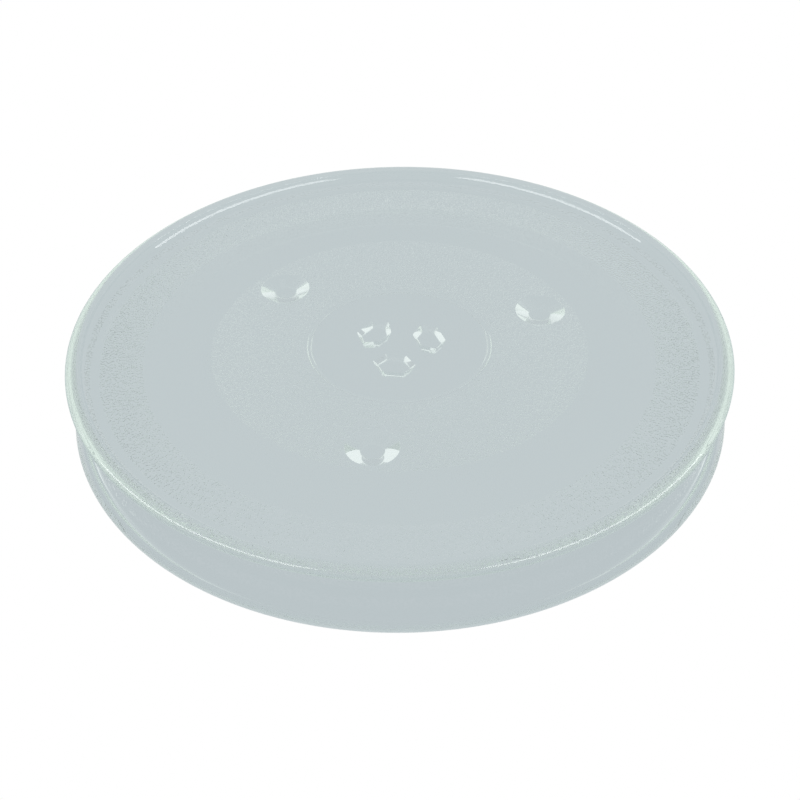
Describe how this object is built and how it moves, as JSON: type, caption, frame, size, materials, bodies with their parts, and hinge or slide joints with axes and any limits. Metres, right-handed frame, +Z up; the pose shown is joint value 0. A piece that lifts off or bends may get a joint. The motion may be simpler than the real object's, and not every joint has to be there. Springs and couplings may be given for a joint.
{
  "type": "microwave turntable plate",
  "caption": "Round clear glass turntable plate with a low curved rim, a smooth roller track, conical feet and drive lugs for a coupler under its floor.",
  "frame": {"origin": "on the plate's axis, on the surface that its three feet stand on", "axes": "+Z up along the plate's axis, out of the dish; -Y through one drive lug and one foot; +X to the right"},
  "size_m": [0.245, 0.245, 0.0136],
  "materials": {
    "clear_glass": "smooth pressed glass with a faint green tint; the underside is stippled outside the hub ring, except on the roller track"
  },
  "bodies": {
    "root": {"turntable_plate": "clear_glass"}
  },
  "joints": []
}
